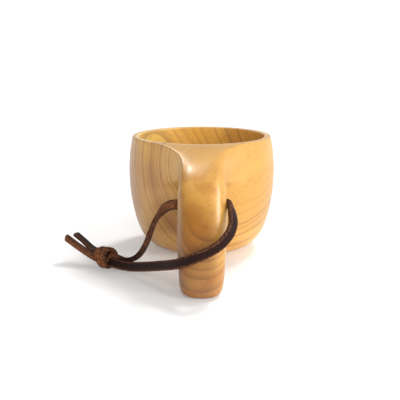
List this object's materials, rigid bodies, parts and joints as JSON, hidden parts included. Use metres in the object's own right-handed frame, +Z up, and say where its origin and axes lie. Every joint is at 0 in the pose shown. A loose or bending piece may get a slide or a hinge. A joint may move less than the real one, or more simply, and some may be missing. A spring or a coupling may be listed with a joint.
{
  "type": "carved wooden drinking cup",
  "caption": "Carved wooden drinking cup, barrel-shaped, with a down-curved handle arm that rests on the table and a knotted leather hanging thong through the arm.",
  "frame": {"origin": "centre of the bowl's flat foot, on the table", "axes": "+Z up, -Y from the bowl towards the handle arm, +X to the right when the cup is seen from its handle"},
  "size_m": [0.1202, 0.1417, 0.0667],
  "materials": {
    "oiled_wood": "satin, oiled",
    "thong_leather": "smooth outer face, napped edges"
  },
  "bodies": {
    "cup": {"cup_body": "oiled_wood"},
    "thong": {"thong_left_run": "thong_leather", "thong_right_run": "thong_leather", "thong_knot": "thong_leather", "thong_tail_front": "thong_leather", "thong_tail_back": "thong_leather"}
  },
  "joints": [
    {"name": "thong_swing", "type": "hinge", "parent": "cup", "child": "thong", "pos_m": [0, -0.0685, 0.041], "axis": [-1, 0, 0], "range_deg": [0, 110]}
  ]
}
